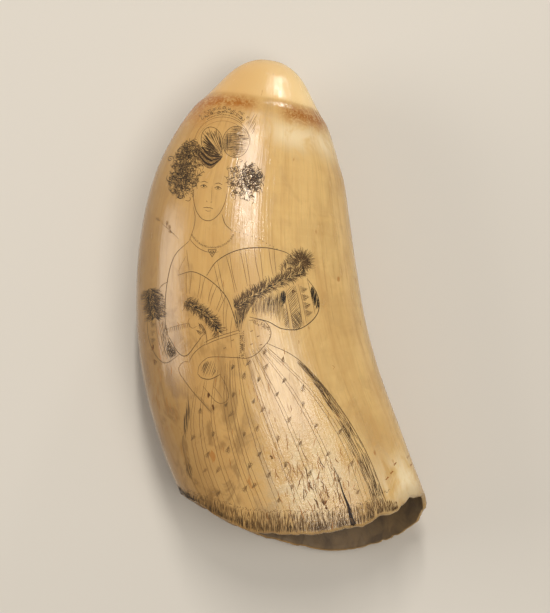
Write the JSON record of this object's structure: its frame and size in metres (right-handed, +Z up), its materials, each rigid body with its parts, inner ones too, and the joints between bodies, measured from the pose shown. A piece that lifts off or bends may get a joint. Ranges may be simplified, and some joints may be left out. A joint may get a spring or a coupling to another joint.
{
  "type": "scrimshaw tooth",
  "caption": "Sperm whale tooth lying on its broad side, its root broken open, its polished face engraved with a lady in old dress.",
  "frame": {"origin": "centre of the bounding box on the plane that the tooth rests on", "axes": "+Z up out of the engraved face, +Y towards the tip, +X towards the hollow side of the curve"},
  "size_m": [0.089, 0.1508, 0.0467],
  "materials": {
    "ivory": "satin",
    "ink": "matte"
  },
  "bodies": {
    "root": {"tooth": "ivory"}
  },
  "joints": []
}
